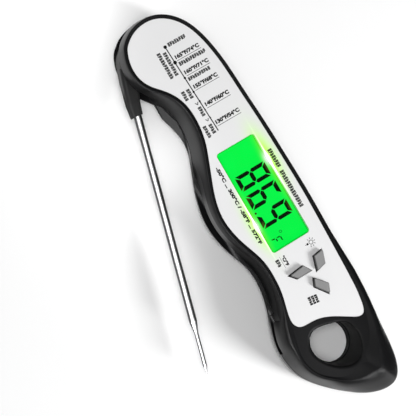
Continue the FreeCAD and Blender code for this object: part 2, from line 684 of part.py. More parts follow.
def hub_seals():
    half = HUB_HEIGHT / 2
    minor = 0.4
    rings = [Part.makeTorus(5.8, minor, V(0, PROBE_OFFSET, side * (half - 0.05)))
             for side in (-1, 1)]
    return place_probe(Part.makeCompound(rings))


def auto_on_magnet():
    return place_probe(Part.makeCylinder(1.5, 2.0, V(-6.5, PROBE_OFFSET, -0.5)))


def probe_tube():
    """Steel tube, necked down at its far end to take the tip."""
    straight = Part.makeCylinder(TUBE_RADIUS, TAPER_START - 3.0, V(3.0, 0, 0), V(1, 0, 0))
    taper = Part.makeCone(TUBE_RADIUS, TIP_RADIUS, TAPER_END - TAPER_START,
                          V(TAPER_START, 0, 0), V(1, 0, 0))
    bore = Part.makeCylinder(TUBE_RADIUS - TUBE_WALL, TAPER_START - 2.0, V(2.0, 0, 0), V(1, 0, 0))
    inner = Part.makeCone(TUBE_RADIUS - TUBE_WALL, TIP_RADIUS - 0.25, TAPER_END - TAPER_START + 0.01,
                          V(TAPER_START, 0, 0), V(1, 0, 0))
    return place_probe(straight.fuse(taper).cut(bore.fuse(inner)).removeSplitter())


def probe_tip():
    """Thin closed tip with a ground point."""
    point_length = 3.2
    shank = Part.makeCylinder(TIP_RADIUS, PROBE_END - point_length - TAPER_END,
                              V(TAPER_END, 0, 0), V(1, 0, 0))
    point = Part.makeCone(TIP_RADIUS, 0.12, point_length, V(PROBE_END - point_length, 0, 0), V(1, 0, 0))
    bore = Part.makeCylinder(TIP_RADIUS - 0.25, PROBE_END - point_length - TAPER_END,
                             V(TAPER_END, 0, 0), V(1, 0, 0))
    return place_probe(shank.fuse(point).cut(bore).removeSplitter())


def thermistor():
    bead = Part.makeSphere(0.45, V(PROBE_END - 4.2, 0, 0))
    stem = Part.makeCylinder(0.22, 1.6, V(PROBE_END - 6.0, 0, 0), V(1, 0, 0))
    return place_probe(bead.fuse(stem).removeSplitter())


def probe_lead():
    """Pair of insulated wires, one jacket, from the thermistor back to the hub."""
    start = V(3.4, 0, 0)
    length = PROBE_END - 6.0 - 3.4
    return place_probe(Part.makeCylinder(0.3, length, start, V(1, 0, 0)))


def hinge_pin():
    """Hollow pin, seated in both housings, that the hub turns on."""
    return ring(PIVOT.x, PIVOT.y, PIN_BOTTOM_Z, PIN_TOP_Z, PIN_RADIUS, 1.4)


def friction_washer():
    low = PARTING_Z - HUB_POCKET_HEIGHT / 2
    return ring(PIVOT.x, PIVOT.y, low, low + 0.25, 4.6, PIN_RADIUS)


def board_lead():
    """Lead from the hollow pin, over its rim and along the channel to the board."""
    bend = 0.9
    height = CEILING_Z - 0.75
    rise = Part.LineSegment(V(PIVOT.x, PIVOT.y, 7.0), V(PIVOT.x, PIVOT.y, height - bend))
    middle = V(PIVOT.x + bend * (1 - math.sqrt(0.5)), PIVOT.y, height - bend * (1 - math.sqrt(0.5)))
    turn = Part.Arc(V(PIVOT.x, PIVOT.y, height - bend), middle, V(PIVOT.x + bend, PIVOT.y, height))
    run = Part.LineSegment(V(PIVOT.x + bend, PIVOT.y, height), V(-51.0, PIVOT.y, height))
    path = Part.Wire([rise.toShape(), turn.toShape(), run.toShape()])
    section = Part.Wire([Part.Circle(V(PIVOT.x, PIVOT.y, 7.0), V(0, 0, 1), 0.5).toShape()])
    return path.makePipeShell([section], True, False)


# ---------------------------------------------------------------- magnets and screws
def back_magnet(x, y):
    disc = cylinder(x, y, FLOOR_Z, FLOOR_Z + MAGNET_HEIGHT, MAGNET_RADIUS)
    return disc.makeChamfer(0.25, [e for e in disc.Edges if len(e.Vertexes) == 1])


def screw(x, y, head_z, head_radius, shank_radius, length):
    """Pan-head screw that drives upwards; its cross recess faces down."""
    head = cylinder(x, y, head_z, head_z + 1.2, head_radius)
    head = head.makeChamfer(0.3, [e for e in head.Edges if e.BoundBox.ZMax < head_z + 0.01])
    shank = cylinder(x, y, head_z + 1.0, head_z + length, shank_radius)
    body = head.fuse(shank)
    arm = head_radius * 0.6
    for size in ((2 * arm, 0.4 * arm), (0.4 * arm, 2 * arm)):
        body = body.cut(centred_box((x, y), size, head_z - 1, head_z + 0.6))
    return body


def housing_screws():
    return Part.makeCompound([screw(x, y, 0.6, 1.9, 0.8, 11.6) for x, y in HOUSING_SCREWS])


def board_screws():
    head_z = BOARD_Z - 1.2
    return Part.makeCompound([screw(x, y, head_z, 1.5, 0.6, 3.6) for x, y in BOARD_SCREWS])


# ---------------------------------------------------------------- write the nodes
def build():
    nodes = {
        "front_housing": front_housing(),
        "rear_housing": rear_housing(),
        "housing_gasket": housing_gasket(),
        "faceplate": faceplate(),
        "lcd_window": lcd_window(),
        "lcd_glass": lcd_glass(),
        "lcd_frame": lcd_frame(),
        "backlight_panel": backlight_panel(),
        "backlight_led": backlight_led(),
        "zebra_connector": zebra_connector(),
        "circuit_board": circuit_board(),
        "chip_cover": chip_cover(),
        "tact_switches": tact_switches(),
        "button_springs": button_springs(),
        "reed_switch": reed_switch(),
        "coin_cell": coin_cell(),
        "battery_holder": battery_holder(),
        "battery_contact_positive": battery_contact_positive(),
        "battery_contact_negative": battery_contact_negative(),
        "battery_cover": battery_cover(),
        "battery_cover_seal": battery_cover_seal(),
        "probe_hub": probe_hub(),
        "hub_bushes": hub_bushes(),
        "hub_seals": hub_seals(),
        "auto_on_magnet": auto_on_magnet(),
        "probe_tube": probe_tube(),
        "probe_tip": probe_tip(),
        "thermistor": thermistor(),
        "probe_lead": probe_lead(),
        "hinge_pin": hinge_pin(),
        "friction_washer": friction_washer(),
        "board_lead": board_lead(),
        "housing_screws": housing_screws(),
        "board_screws": board_screws(),
    }
    for name, points in BUTTONS.items():
        nodes[name] = button(points)
    for name, (x, y) in MAGNETS.items():
        nodes[name] = back_magnet(x, y)
    return nodes


os.makedirs("parts", exist_ok=True)
for node, shape in build().items():
    solids = len(shape.Solids)
    print(f"{node}: solids {solids}, volume {shape.Volume:.1f} mm3, valid {shape.isValid()}")
    shape.exportStep(f"parts/{node}.step")
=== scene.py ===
"""Looks of the folding digital meat thermometer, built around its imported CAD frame."""
import math

import bmesh
import bpy
from mathutils import Matrix, Vector


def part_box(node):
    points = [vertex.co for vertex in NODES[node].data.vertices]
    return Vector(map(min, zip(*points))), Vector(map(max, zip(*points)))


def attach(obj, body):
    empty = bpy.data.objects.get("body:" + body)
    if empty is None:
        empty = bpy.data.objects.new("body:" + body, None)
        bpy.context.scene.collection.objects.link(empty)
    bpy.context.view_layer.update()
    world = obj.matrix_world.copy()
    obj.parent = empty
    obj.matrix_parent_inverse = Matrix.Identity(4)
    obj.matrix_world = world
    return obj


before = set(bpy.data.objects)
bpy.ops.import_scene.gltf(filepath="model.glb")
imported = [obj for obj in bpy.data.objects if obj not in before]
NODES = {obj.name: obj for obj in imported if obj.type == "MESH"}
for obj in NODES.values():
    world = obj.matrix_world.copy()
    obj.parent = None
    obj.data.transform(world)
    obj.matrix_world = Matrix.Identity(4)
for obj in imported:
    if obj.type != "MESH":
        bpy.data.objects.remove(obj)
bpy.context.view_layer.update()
MM = 0.001


def corners(node):
    """A node's lowest and highest corners at rest, in mm."""
    return [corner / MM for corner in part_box(node)]


# ---------------------------------------------------------------- places on the object, in mm
PRINT_GAP = 0.012                        # the face to the underside of its print
PRINT_THICKNESS = 0.01
PRINT_Z = corners("faceplate")[1].z + PRINT_GAP
GLASS_PRINT_Z = corners("lcd_glass")[1].z + 0.01
WINDOW_GAP = 0.06                        # from the window to the plate round it
VIEW_SHIFT = 0.39                        # the display lies deeper than the window
HOLE_SHADE_PATCH = (58.5, -0.5)                # middle of the patch of painted shade in the hanging hole, which is also matt
PROBE_PAINTED_HIGHLIGHT_SIDE = (0.0, -0.292, 0.956)    # direction in which the probe's painted bright middle faces

window_low, window_high = corners("lcd_window")
WINDOW_CENTRE = (window_low + window_high) / 2
WINDOW_HALF = (window_high - window_low) / 2 + Vector((WINDOW_GAP, WINDOW_GAP, 0))
cover_low, cover_high = corners("battery_cover")
COVER_CENTRE = (cover_low + cover_high) / 2
COVER_PRINT_Z = cover_low.z - 0.018
COVER_PRINT_THICKNESS = 0.012

# ---------------------------------------------------------------- studio
TARGET = Vector((0.0, 0.0, 0.0175))      # middle of the face
CAMERA_DISTANCE = 0.6
CAMERA_LEAN_Y = math.radians(17.0)       # leans back towards the finger-grip side
CAMERA_LEAN_X = math.radians(-2.4)
CAMERA_ROLL = math.radians(59.7)         # how far +X points below the picture's right
CAMERA_OFFSET = (0.0189, 0.00195)        # the target's place from the picture's middle
FOCAL_LENGTH = 143.75
SENSOR = 36.0
FLOOR_HALF_SIZE = 3.0
FLOOR_DROP = 0.0002                      # keeps the floor off the flat back
FLOOR_LAMP_HEIGHT = 0.021                # these lamps stand above the handle and light the floor
KEY_PLACE = (0.7, 0.4, 0.42)


def add_camera():
    towards = Vector((math.sin(CAMERA_LEAN_X), -math.sin(CAMERA_LEAN_Y),
                      math.cos(CAMERA_LEAN_Y) * math.cos(CAMERA_LEAN_X))).normalized()
    along = (Vector((1, 0, 0)) - towards * towards.x).normalized()
    across = towards.cross(along)
    right = along * math.cos(CAMERA_ROLL) + across * math.sin(CAMERA_ROLL)
    up = across * math.cos(CAMERA_ROLL) - along * math.sin(CAMERA_ROLL)
    place = (TARGET - right * CAMERA_OFFSET[0] - up * CAMERA_OFFSET[1]
             + towards * CAMERA_DISTANCE)
    data = bpy.data.cameras.new("camera")
    data.lens = FOCAL_LENGTH
    data.sensor_width = SENSOR
    data.clip_start = 0.01
    data.clip_end = 20
    camera = bpy.data.objects.new("camera", data)
    rows = Matrix((right, up, towards)).transposed().to_4x4()
    camera.matrix_world = Matrix.Translation(place) @ rows
    bpy.context.scene.collection.objects.link(camera)
    bpy.context.scene.camera = camera


def add_area_light(name, place, aim, size, power, seen_by):
    """Round lamp, seen by "surfaces", which it lights, or by "reflections" only."""
    data = bpy.data.lights.new(name, "AREA")
    data.shape = "DISK"
    data.size = size
    data.energy = power
    lamp = bpy.data.objects.new(name, data)
    lamp.location = place
    lamp.rotation_euler = (Vector(aim) - Vector(place)).to_track_quat("-Z", "Y").to_euler()
    lamp.visible_camera = False
    lamp.visible_glossy = seen_by == "reflections"
    lamp.visible_diffuse = seen_by == "surfaces"
    bpy.context.scene.collection.objects.link(lamp)


def add_floor():
    mesh = bpy.data.meshes.new("floor")
    form = bmesh.new()
    bmesh.ops.create_grid(form, x_segments=1, y_segments=1, size=FLOOR_HALF_SIZE)
    form.to_mesh(mesh)
    form.free()
    floor = bpy.data.objects.new("floor", mesh)
    floor.location.z = -FLOOR_DROP
    bpy.context.scene.collection.objects.link(floor)
    material = bpy.data.materials.new("floor_white")
    material.use_nodes = True
    shader = material.node_tree.nodes["Principled BSDF"]
    shader.inputs["Base Color"].default_value = (0.97, 0.97, 0.97, 1)
    shader.inputs["Roughness"].default_value = 0.95
    shader.inputs["Specular IOR Level"].default_value = 0.0
    mesh.materials.append(material)


def add_card(name, outline, stops):
    """Card that only reflections see; stops give its brightness along X, in mm."""
    mesh = bpy.data.meshes.new(name)
    mesh.from_pydata([Vector(corner) * MM for corner in outline], [], [(0, 1, 2, 3)])
    card = bpy.data.objects.new(name, mesh)
    bpy.context.scene.collection.objects.link(card)
    card.visible_camera = False
    card.visible_diffuse = False
    card.visible_shadow = False
    card.visible_transmission = False
    material = bpy.data.materials.new(name)
    material.use_nodes = True
    tree = material.node_tree
    tree.nodes.remove(tree.nodes["Principled BSDF"])
    glow = tree.nodes.new("ShaderNodeEmission")
    split = tree.nodes.new("ShaderNodeSeparateXYZ")
    scaled = tree.nodes.new("ShaderNodeMapRange")
    ramp = tree.nodes.new("ShaderNodeValToRGB")
    first, last = stops[0][0], stops[-1][0]
    scaled.inputs["From Min"].default_value = first * MM
    scaled.inputs["From Max"].default_value = last * MM
    ramp.color_ramp.interpolation = "EASE"
    elements = ramp.color_ramp.elements
    for x, tone in stops:
        if x in (first, last):
            stop = elements[0 if x == first else -1]
        else:
            stop = elements.new((x - first) / (last - first))
        stop.color = (tone, tone, tone, 1)
    links = tree.links
    links.new(tree.nodes.new("ShaderNodeTexCoord").outputs["Object"], split.inputs[0])
    links.new(split.outputs["X"], scaled.inputs["Value"])
    links.new(scaled.outputs["Result"], ramp.inputs["Fac"])
    links.new(ramp.outputs["Color"], glow.inputs["Color"])
    links.new(glow.outputs["Emission"], tree.nodes["Material Output"].inputs["Surface"])
    mesh.materials.append(material)


def add_world(strength):
    world = bpy.data.worlds.new("studio")
    world.use_nodes = True
    background = world.node_tree.nodes["Background"]
    background.inputs["Color"].default_value = (1, 1, 1, 1)
    background.inputs["Strength"].default_value = strength
    bpy.context.scene.world = world


add_camera()
add_floor()
add_world(0.2)
add_area_light("key", KEY_PLACE, (0, 0, 0), 0.3, 8.9, "surfaces")
add_area_light("key_gloss", KEY_PLACE, (0, 0, 0), 0.5, 6.0, "reflections")
add_area_light("front_box", (-0.05, -0.27, 0.95), (0, 0, 0), 0.42, 3.8, "surfaces")
add_area_light("edge_light", (0.15, -0.6, 0.42), (0, 0, 0.01), 0.3, 2.4, "reflections")
for name, x, y, size, power in (("head_floor", -0.106, -0.018, 0.046, 0.007),
                                ("side_floor", -0.078, -0.036, 0.034, 0.003),
                                ("neck_floor", -0.034, -0.03, 0.034, 0.0055)):
    add_area_light(name, (x, y, FLOOR_LAMP_HEIGHT), (x, y, 0), size, power, "surfaces")
add_card("grip_card", [(-60, -30, 0.05), (90, -30, 0.05), (90, -4, 0.05), (-60, -4, 0.05)],
         ((-60, 0.1), (-44, 0.1), (-38, 1.2), (-30, 1.2), (-24, 0.3), (-16, 0.3), (-10, 1.2),
          (4, 1.2), (14, 0.12), (36, 0.12), (46, 1.0), (90, 1.0)))
add_card("tube_card", [(-75, -70, 85), (65, -108, 85), (65, -60, 85), (-75, -22, 85)],
         ((-75, 4.0), (65, 4.0)))
add_card("tail_top_card", [(46, 2, 76), (92, 2, 76), (92, 18, 76), (46, 18, 76)],
         ((46, 0.6), (56, 1.6), (92, 1.6)))
add_card("far_card", [(-90, 24, 0), (100, 30, 0), (100, 30, 50), (-90, 24, 50)],
         ((-90, 0.05), (100, 0.02)))
bpy.context.scene.view_settings.view_transform = "Standard"
bpy.context.scene.view_settings.look = "None"


# ---------------------------------------------------------------- node helpers
class Tree:
    """Short names for building one material's nodes."""

    def __init__(self, name):
        self.material = bpy.data.materials.new(name)
        self.material.use_nodes = True
        self.tree = self.material.node_tree
        self.shader = self.tree.nodes["Principled BSDF"]
        self.output = self.tree.nodes["Material Output"]
        self.place = self.add("ShaderNodeTexCoord").outputs["Object"]

    def add(self, kind, **settings):
        node = self.tree.nodes.new(kind)
        for key, value in settings.items():
            setattr(node, key, value)
        return node

    def link(self, source, target):
        self.tree.links.new(source, target)

    def put(self, socket, value):
        """Set a socket to a number, or feed it from another socket."""
        if isinstance(value, (int, float, tuple)):
            socket.default_value = value
        else:
            self.link(value, socket)

    def math(self, operation, a, b=0.0):
        node = self.add("ShaderNodeMath", operation=operation)
        self.put(node.inputs[0], a)
        self.put(node.inputs[1], b)
        return node.outputs[0]

    def ramp(self, value, low, high, to_low=0.0, to_high=1.0):
        node = self.add("ShaderNodeMapRange", interpolation_type="SMOOTHSTEP")
        self.put(node.inputs["Value"], value)
        node.inputs["From Min"].default_value = low
        node.inputs["From Max"].default_value = high
        node.inputs["To Min"].default_value = to_low
        node.inputs["To Max"].default_value = to_high
        return node.outputs["Result"]

    def mix(self, factor, a, b):
        node = self.add("ShaderNodeMix", data_type="RGBA")
        self.put(node.inputs[0], factor)
        self.put(node.inputs[6], a)
        self.put(node.inputs[7], b)
        return node.outputs[2]

    def noise(self, scale, detail=3.0, stretch=None):
        node = self.add("ShaderNodeTexNoise")
        node.inputs["Scale"].default_value = scale
        node.inputs["Detail"].default_value = detail
        where = self.place
        if stretch:
            mapping = self.add("ShaderNodeMapping")
            mapping.inputs["Scale"].default_value = stretch
            self.link(where, mapping.inputs["Vector"])
            where = mapping.outputs["Vector"]
        self.link(where, node.inputs["Vector"])
        return node.outputs["Fac"]

    def coordinates(self):
        """X, Y and Z of the point in mm."""
        split = self.add("ShaderNodeSeparateXYZ")
        self.link(self.place, split.inputs[0])
        return [self.math("MULTIPLY", split.outputs[i], 1000.0) for i in range(3)]

    def facing(self, direction):
        """How far the surface faces a fixed direction of the object."""
        node = self.add("ShaderNodeVectorMath", operation="DOT_PRODUCT")
        geometry = self.add("ShaderNodeNewGeometry")
        self.link(geometry.outputs["Normal"], node.inputs[0])
        node.inputs[1].default_value = direction
        return node.outputs["Value"]

    def bell(self, x, y, centre, spread):
        """Bell-shaped patch round a centre, 1 at its middle."""
        dx = self.math("DIVIDE", self.math("SUBTRACT", x, centre[0]), spread[0])
        dy = self.math("DIVIDE", self.math("SUBTRACT", y, centre[1]), spread[1])
        square = self.math("ADD", self.math("MULTIPLY", dx, dx), self.math("MULTIPLY", dy, dy))
        return self.math("POWER", 2.718, self.math("MULTIPLY", square, -1.0))

    def bumps(self, height, strength, distance, rounded=0.0):
        bump = self.add("ShaderNodeBump")
        bump.inputs["Strength"].default_value = strength
        bump.inputs["Distance"].default_value = distance
        self.link(height, bump.inputs["Height"])
        if rounded:
            bevel = self.add("ShaderNodeBevel", samples=6)
            bevel.inputs["Radius"].default_value = rounded
            self.link(bevel.outputs[0], bump.inputs["Normal"])
        self.link(bump.outputs[0], self.shader.inputs["Normal"])


def shade(colour, factor):
    return (colour[0] * factor, colour[1] * factor, colour[2] * factor, 1.0)


def surface(name, colour, rough, metallic=0.0, specular=0.5, grain=1500.0, bump=0.12,
            mottle=0.12, rounded=0.0, stretch=None):
    """Common surface: fine moulded grain, mottled colour and a roughness that wanders."""
    t = Tree(name)
    broad = t.noise(90.0, 4.0)
    fine = t.noise(grain, 2.0, stretch)
    t.link(t.mix(broad, shade(colour, 1 - mottle), shade(colour, 1 + mottle)),
           t.shader.inputs["Base Color"])
    t.link(t.ramp(broad, 0.3, 0.7, rough * 0.9, rough * 1.1), t.shader.inputs["Roughness"])
    t.shader.inputs["Metallic"].default_value = metallic
    t.shader.inputs["Specular IOR Level"].default_value = specular
    t.bumps(fine, bump, 0.00002, rounded)
    return t


def dress(material, *nodes):
    for node in nodes:
        mesh = NODES[node].data
        mesh.materials.clear()
        mesh.materials.append(material)


# ---------------------------------------------------------------- materials
def housing_material():
    """Satin black, with painted shade that darkens it within the hanging hole, where it is also
    matt.
    """
    t = surface("black_plastic", (0.0045, 0.0045, 0.005), 0.33, specular=0.24, grain=2600.0,
                bump=0.05, rounded=0.00018)
    x, y, z = t.coordinates()
    near_hole = t.ramp(t.bell(x, y, HOLE_SHADE_PATCH, (12.0, 12.0)), 0.3, 0.4)
    hole_shade_mask = t.math("MULTIPLY", near_hole, t.ramp(z, 17.2, 16.8))
    base = t.shader.inputs["Base Color"]
    # painted shade: the base colour turns near black within the hanging hole
    t.link(t.mix(hole_shade_mask, base.links[0].from_socket, (0.0012, 0.0012, 0.0014, 1)), base)
    satin = t.ramp(t.noise(90.0, 4.0), 0.3, 0.7, 0.3, 0.36)
    t.link(t.math("ADD", satin, t.math("MULTIPLY", hole_shade_mask, 0.4)), t.shader.inputs["Roughness"])
    return t.material


black = housing_material()
boot_black = surface("boot_black", (0.008, 0.008, 0.008), 0.45, specular=0.3, grain=2200.0,
                     bump=0.1, rounded=0.00025).material
rubber = surface("rubber_black", (0.02, 0.02, 0.02), 0.8, specular=0.2, grain=1400.0,
                 bump=0.3).material
steel = surface("steel", (0.62, 0.62, 0.64), 0.3, metallic=1.0, grain=900.0, bump=0.15,
                mottle=0.06).material
magnet_plate = surface("magnet", (0.7, 0.7, 0.72), 0.16, metallic=1.0, grain=400.0, bump=0.05,
                       mottle=0.05).material
frame_white = surface("frame_white", (0.82, 0.82, 0.8), 0.5, bump=0.1, mottle=0.03).material
acetal = surface("acetal", (0.85, 0.84, 0.78), 0.35, bump=0.06, mottle=0.04).material
can = surface("cell", (0.68, 0.68, 0.66), 0.24, metallic=1.0, grain=1200.0, bump=0.1,
              mottle=0.05, stretch=(1.0, 12.0, 1.0)).material
brass = surface("brass", (0.72, 0.55, 0.24), 0.28, metallic=1.0, grain=900.0, bump=0.1).material
jacket = surface("wire_jacket", (0.5, 0.03, 0.02), 0.5, specular=0.3, bump=0.1).material
bead = surface("bead", (0.22, 0.14, 0.07), 0.25, bump=0.05, mottle=0.25).material
reed = surface("reed_glass", (0.55, 0.68, 0.6), 0.08, bump=0.02, mottle=0.1).material


def panel_material():
    """White printed panel with a painted green glow along the window's long edges and painted white
    flare streaks and glints there; the panel itself emits this light.
    """
    t = Tree("panel_white")
    x, y, _ = t.coordinates()
    clean = t.mix(t.noise(70.0, 4.0), (0.79, 0.79, 0.795, 1), (0.81, 0.81, 0.812, 1))
    # painted glow: the panel takes a green tint and glows beside the window's long edges
    upper = t.bell(x, y, (-12.5, 11.2), (10.5, 3.3))
    lower = t.bell(x, y, (6.0, -5.4), (9.0, 2.8))
    painted_glow = t.math("MINIMUM", t.math("MULTIPLY", t.math("ADD", upper, lower), 1.15), 1.0)
    painted_glow_tint = t.mix(t.math("MULTIPLY", painted_glow, 0.92), clean, (0.45, 0.95, 0.05, 1))
    # painted highlights: white flare streaks and glints that glow on the panel
    upper_streak = t.bell(x, y, (-9.0, 11.45), (10.0, 0.3))
    lower_streak = t.bell(x, y, (5.5, -5.75), (9.5, 0.3))
    painted_glints = t.math("ADD", t.bell(x, y, (-12.3, 11.2), (2.0, 0.85)),
                   t.bell(x, y, (6.8, -5.8), (2.0, 0.85)))
    painted_flare = t.math("MINIMUM", t.math("ADD", t.math("ADD", upper_streak, lower_streak), painted_glints), 1.0)
    t.link(t.mix(painted_flare, painted_glow_tint, (1, 1, 1, 1)), t.shader.inputs["Base Color"])
    t.link(t.mix(painted_flare, (0.35, 0.8, 0.02, 1), (1, 1, 1, 1)), t.shader.inputs["Emission Color"])
    t.link(t.math("ADD", t.math("MULTIPLY", painted_glow, 0.25), t.math("MULTIPLY", painted_flare, 0.8)),
           t.shader.inputs["Emission Strength"])
    t.link(t.ramp(t.noise(200.0), 0.3, 0.7, 0.42, 0.52), t.shader.inputs["Roughness"])
    t.shader.inputs["Specular IOR Level"].default_value = 0.25
    t.bumps(t.noise(1800.0, 2.0), 0.06, 0.00001)
    return t.material


def display_material():
    """Lit display: even green, darker against the window's edge, with a painted yellow glow near
    its long edges and painted white glints where the lamps sit.
    """
    t = Tree("display")
    x, y, _ = t.coordinates()
    half_length, half_width = WINDOW_HALF.x, WINDOW_HALF.y
    from_middle = t.math("ABSOLUTE", t.math("SUBTRACT", x, WINDOW_CENTRE.x))
    from_axis = t.math("ABSOLUTE", t.math("SUBTRACT", y, WINDOW_CENTRE.y + VIEW_SHIFT))
    along = t.math("DIVIDE", from_middle, half_length)
    across = t.math("DIVIDE", t.math("SUBTRACT", from_axis, half_width - half_length), half_length)
    edge = t.ramp(t.math("MAXIMUM", along, across), 0.965, 1.0)
    broad = t.mix(t.noise(60.0, 2.0), (0.0, 0.93, 0.055, 1), (0.0, 1.0, 0.09, 1))
    rimmed = t.mix(edge, broad, (0.0, 0.5, 0.03, 1))
    # painted highlights: two white glints at the window's long edges
    painted_glints = t.math("ADD", t.bell(x, y, (-12.3, 11.2), (2.4, 1.2)),
                   t.bell(x, y, (6.8, -5.2), (2.2, 0.9)))
    # painted glow: a yellow tint near the long edges
    glow = t.math("ADD", t.bell(x, y, (-10.0, 11.6), (12.0, 1.6)),
                  t.bell(x, y, (6.0, -5.0), (9.0, 1.3)))
    share = t.math("MULTIPLY", t.math("MINIMUM", glow, 1.0), 0.45)
    painted_glow_tint = t.mix(share, rimmed, (0.35, 1.0, 0.0, 1))
    lit = t.mix(t.math("MINIMUM", painted_glints, 1.0), painted_glow_tint, (0.95, 1.0, 0.95, 1))
    t.link(lit, t.shader.inputs["Emission Color"])
    t.shader.inputs["Emission Strength"].default_value = 1.0
    t.shader.inputs["Base Color"].default_value = (0.0, 0.02, 0.0, 1)
    t.link(t.ramp(t.noise(300.0), 0.3, 0.7, 0.5, 0.6), t.shader.inputs["Roughness"])
    t.shader.inputs["Specular IOR Level"].default_value = 0.1
    return t.material


def lens_material():
    """Clear window: it lets the display through and only catches a faint sheen."""
    t = Tree("clear_lens")
    clear = t.add("ShaderNodeBsdfTransparent")
    clear.inputs["Color"].default_value = (0.985, 1.0, 0.985, 1)
    t.link(t.ramp(t.noise(120.0), 0.3, 0.7, 0.05, 0.09), t.shader.inputs["Roughness"])
    t.shader.inputs["Base Color"].default_value = (0.0, 0.02, 0.0, 1)
    blend = t.add("ShaderNodeMixShader")
    t.link(t.ramp(t.noise(40.0, 2.0), 0.2, 0.8, 0.03, 0.05), blend.inputs[0])
    t.link(clear.outputs[0], blend.inputs[1])
    t.link(t.shader.outputs[0], blend.inputs[2])
    t.link(blend.outputs[0], t.output.inputs["Surface"])
    return t.material


def glowing_panel(name, colour):
    t = surface(name, colour, 0.5, bump=0.05)
    t.link(t.mix(t.noise(150.0), shade(colour, 0.8), shade(colour, 1.0)),
           t.shader.inputs["Emission Color"])
    t.shader.inputs["Emission Strength"].default_value = 0.8
    return t.material


def button_material():
    """Grey cap with a fine woven texture on top and painted shade darkening its sides."""
    t = Tree("button_grey")
    x, y, _ = t.coordinates()
    weave = t.math("MULTIPLY", t.math("SINE", t.math("MULTIPLY", x, 9.0)),
                   t.math("SINE", t.math("MULTIPLY", y, 9.0)))
    mottled = t.math("ADD", t.math("MULTIPLY", weave, 0.35), t.noise(500.0))
    top = t.mix(mottled, (0.24, 0.24, 0.24, 1), (0.29, 0.29, 0.29, 1))
    painted_side_shade_mask = t.ramp(t.facing((0, 0, 1)), 0.55, 0.9)
    # painted shade: the sides are darker than the top because of their tilt
    t.link(t.mix(painted_side_shade_mask, (0.035, 0.035, 0.035, 1), top), t.shader.inputs["Base Color"])
    t.link(t.ramp(weave, -1.0, 1.0, 0.5, 0.65), t.shader.inputs["Roughness"])
    t.shader.inputs["Specular IOR Level"].default_value = 0.3
    t.bumps(mottled, 0.25, 0.00004)
    return t.material


def chrome_with_painted_reflections():
    """Polished steel with painted reflections, a painted bright middle and painted dark lines along
    its sides, on top of its real metal reflections.
    """
    t = Tree("probe_steel")
    facing = t.facing(PROBE_PAINTED_HIGHLIGHT_SIDE)
    # painted reflection: white where the surface faces that direction, dark lines further round its
    # sides
    middle = t.ramp(facing, 0.84, 0.94)
    edge = t.ramp(facing, 0.3, 0.55)
    tone = t.mix(edge, (0.5, 0.5, 0.51, 1), (0.09, 0.09, 0.095, 1))
    tone = t.mix(middle, tone, (0.98, 0.98, 0.99, 1))
    streaks = t.noise(300.0, 3.0, (0.05, 1.0, 1.0))
    t.link(t.mix(t.math("MULTIPLY", streaks, 0.08), tone, (0.5, 0.5, 0.5, 1)),
           t.shader.inputs["Base Color"])
    t.shader.inputs["Metallic"].default_value = 1.0
    t.link(t.ramp(streaks, 0.3, 0.7, 0.3, 0.38), t.shader.inputs["Roughness"])
    t.bumps(streaks, 0.04, 0.00001)
    return t.material


def board_material():
    """Green solder mask with copper tracks showing through."""
    t = Tree("board_green")
    x, y, _ = t.coordinates()
    tracks = t.math("MULTIPLY", t.math("SINE", t.math("MULTIPLY", y, 4.5)),
                    t.math("SINE", t.math("ADD", t.math("MULTIPLY", x, 0.7), t.noise(60.0))))
    line = t.ramp(tracks, 0.35, 0.45)
    t.link(t.mix(line, (0.01, 0.13, 0.04, 1), (0.03, 0.26, 0.09, 1)), t.shader.inputs["Base Color"])
    t.link(t.ramp(t.noise(300.0), 0.3, 0.7, 0.3, 0.45), t.shader.inputs["Roughness"])
    t.bumps(line, 0.2, 0.00004)
    return t.material


def ink_material(name, colour):
    return surface(name, colour, 0.6, specular=0.15, grain=3000.0, bump=0.05, mottle=0.15).material


dress(black, "front_housing", "rear_housing", "battery_cover")
dress(boot_black, "probe_hub", "chip_cover")
dress(panel_material(), "faceplate")
dress(display_material(), "lcd_glass")
dress(lens_material(), "lcd_window")
dress(frame_white, "lcd_frame", "battery_holder")
dress(glowing_panel("backlight", (0.15, 1.0, 0.3)), "backlight_panel", "backlight_led")
dress(rubber, "housing_gasket", "zebra_connector", "button_springs", "battery_cover_seal",
      "hub_seals")
dress(board_material(), "circuit_board")
dress(steel, "tact_switches", "hinge_pin", "friction_washer", "housing_screws", "board_screws")
dress(magnet_plate, "auto_on_magnet", "magnet_upper", "magnet_lower")
dress(can, "coin_cell")
dress(brass, "battery_contact_positive", "battery_contact_negative")
dress(acetal, "hub_bushes")
dress(chrome_with_painted_reflections(), "probe_tube", "probe_tip")
dress(bead, "thermistor")
dress(jacket, "probe_lead", "board_lead")
dress(reed, "reed_switch")
dress(button_material(), "button_light", "button_unit", "button_hold")


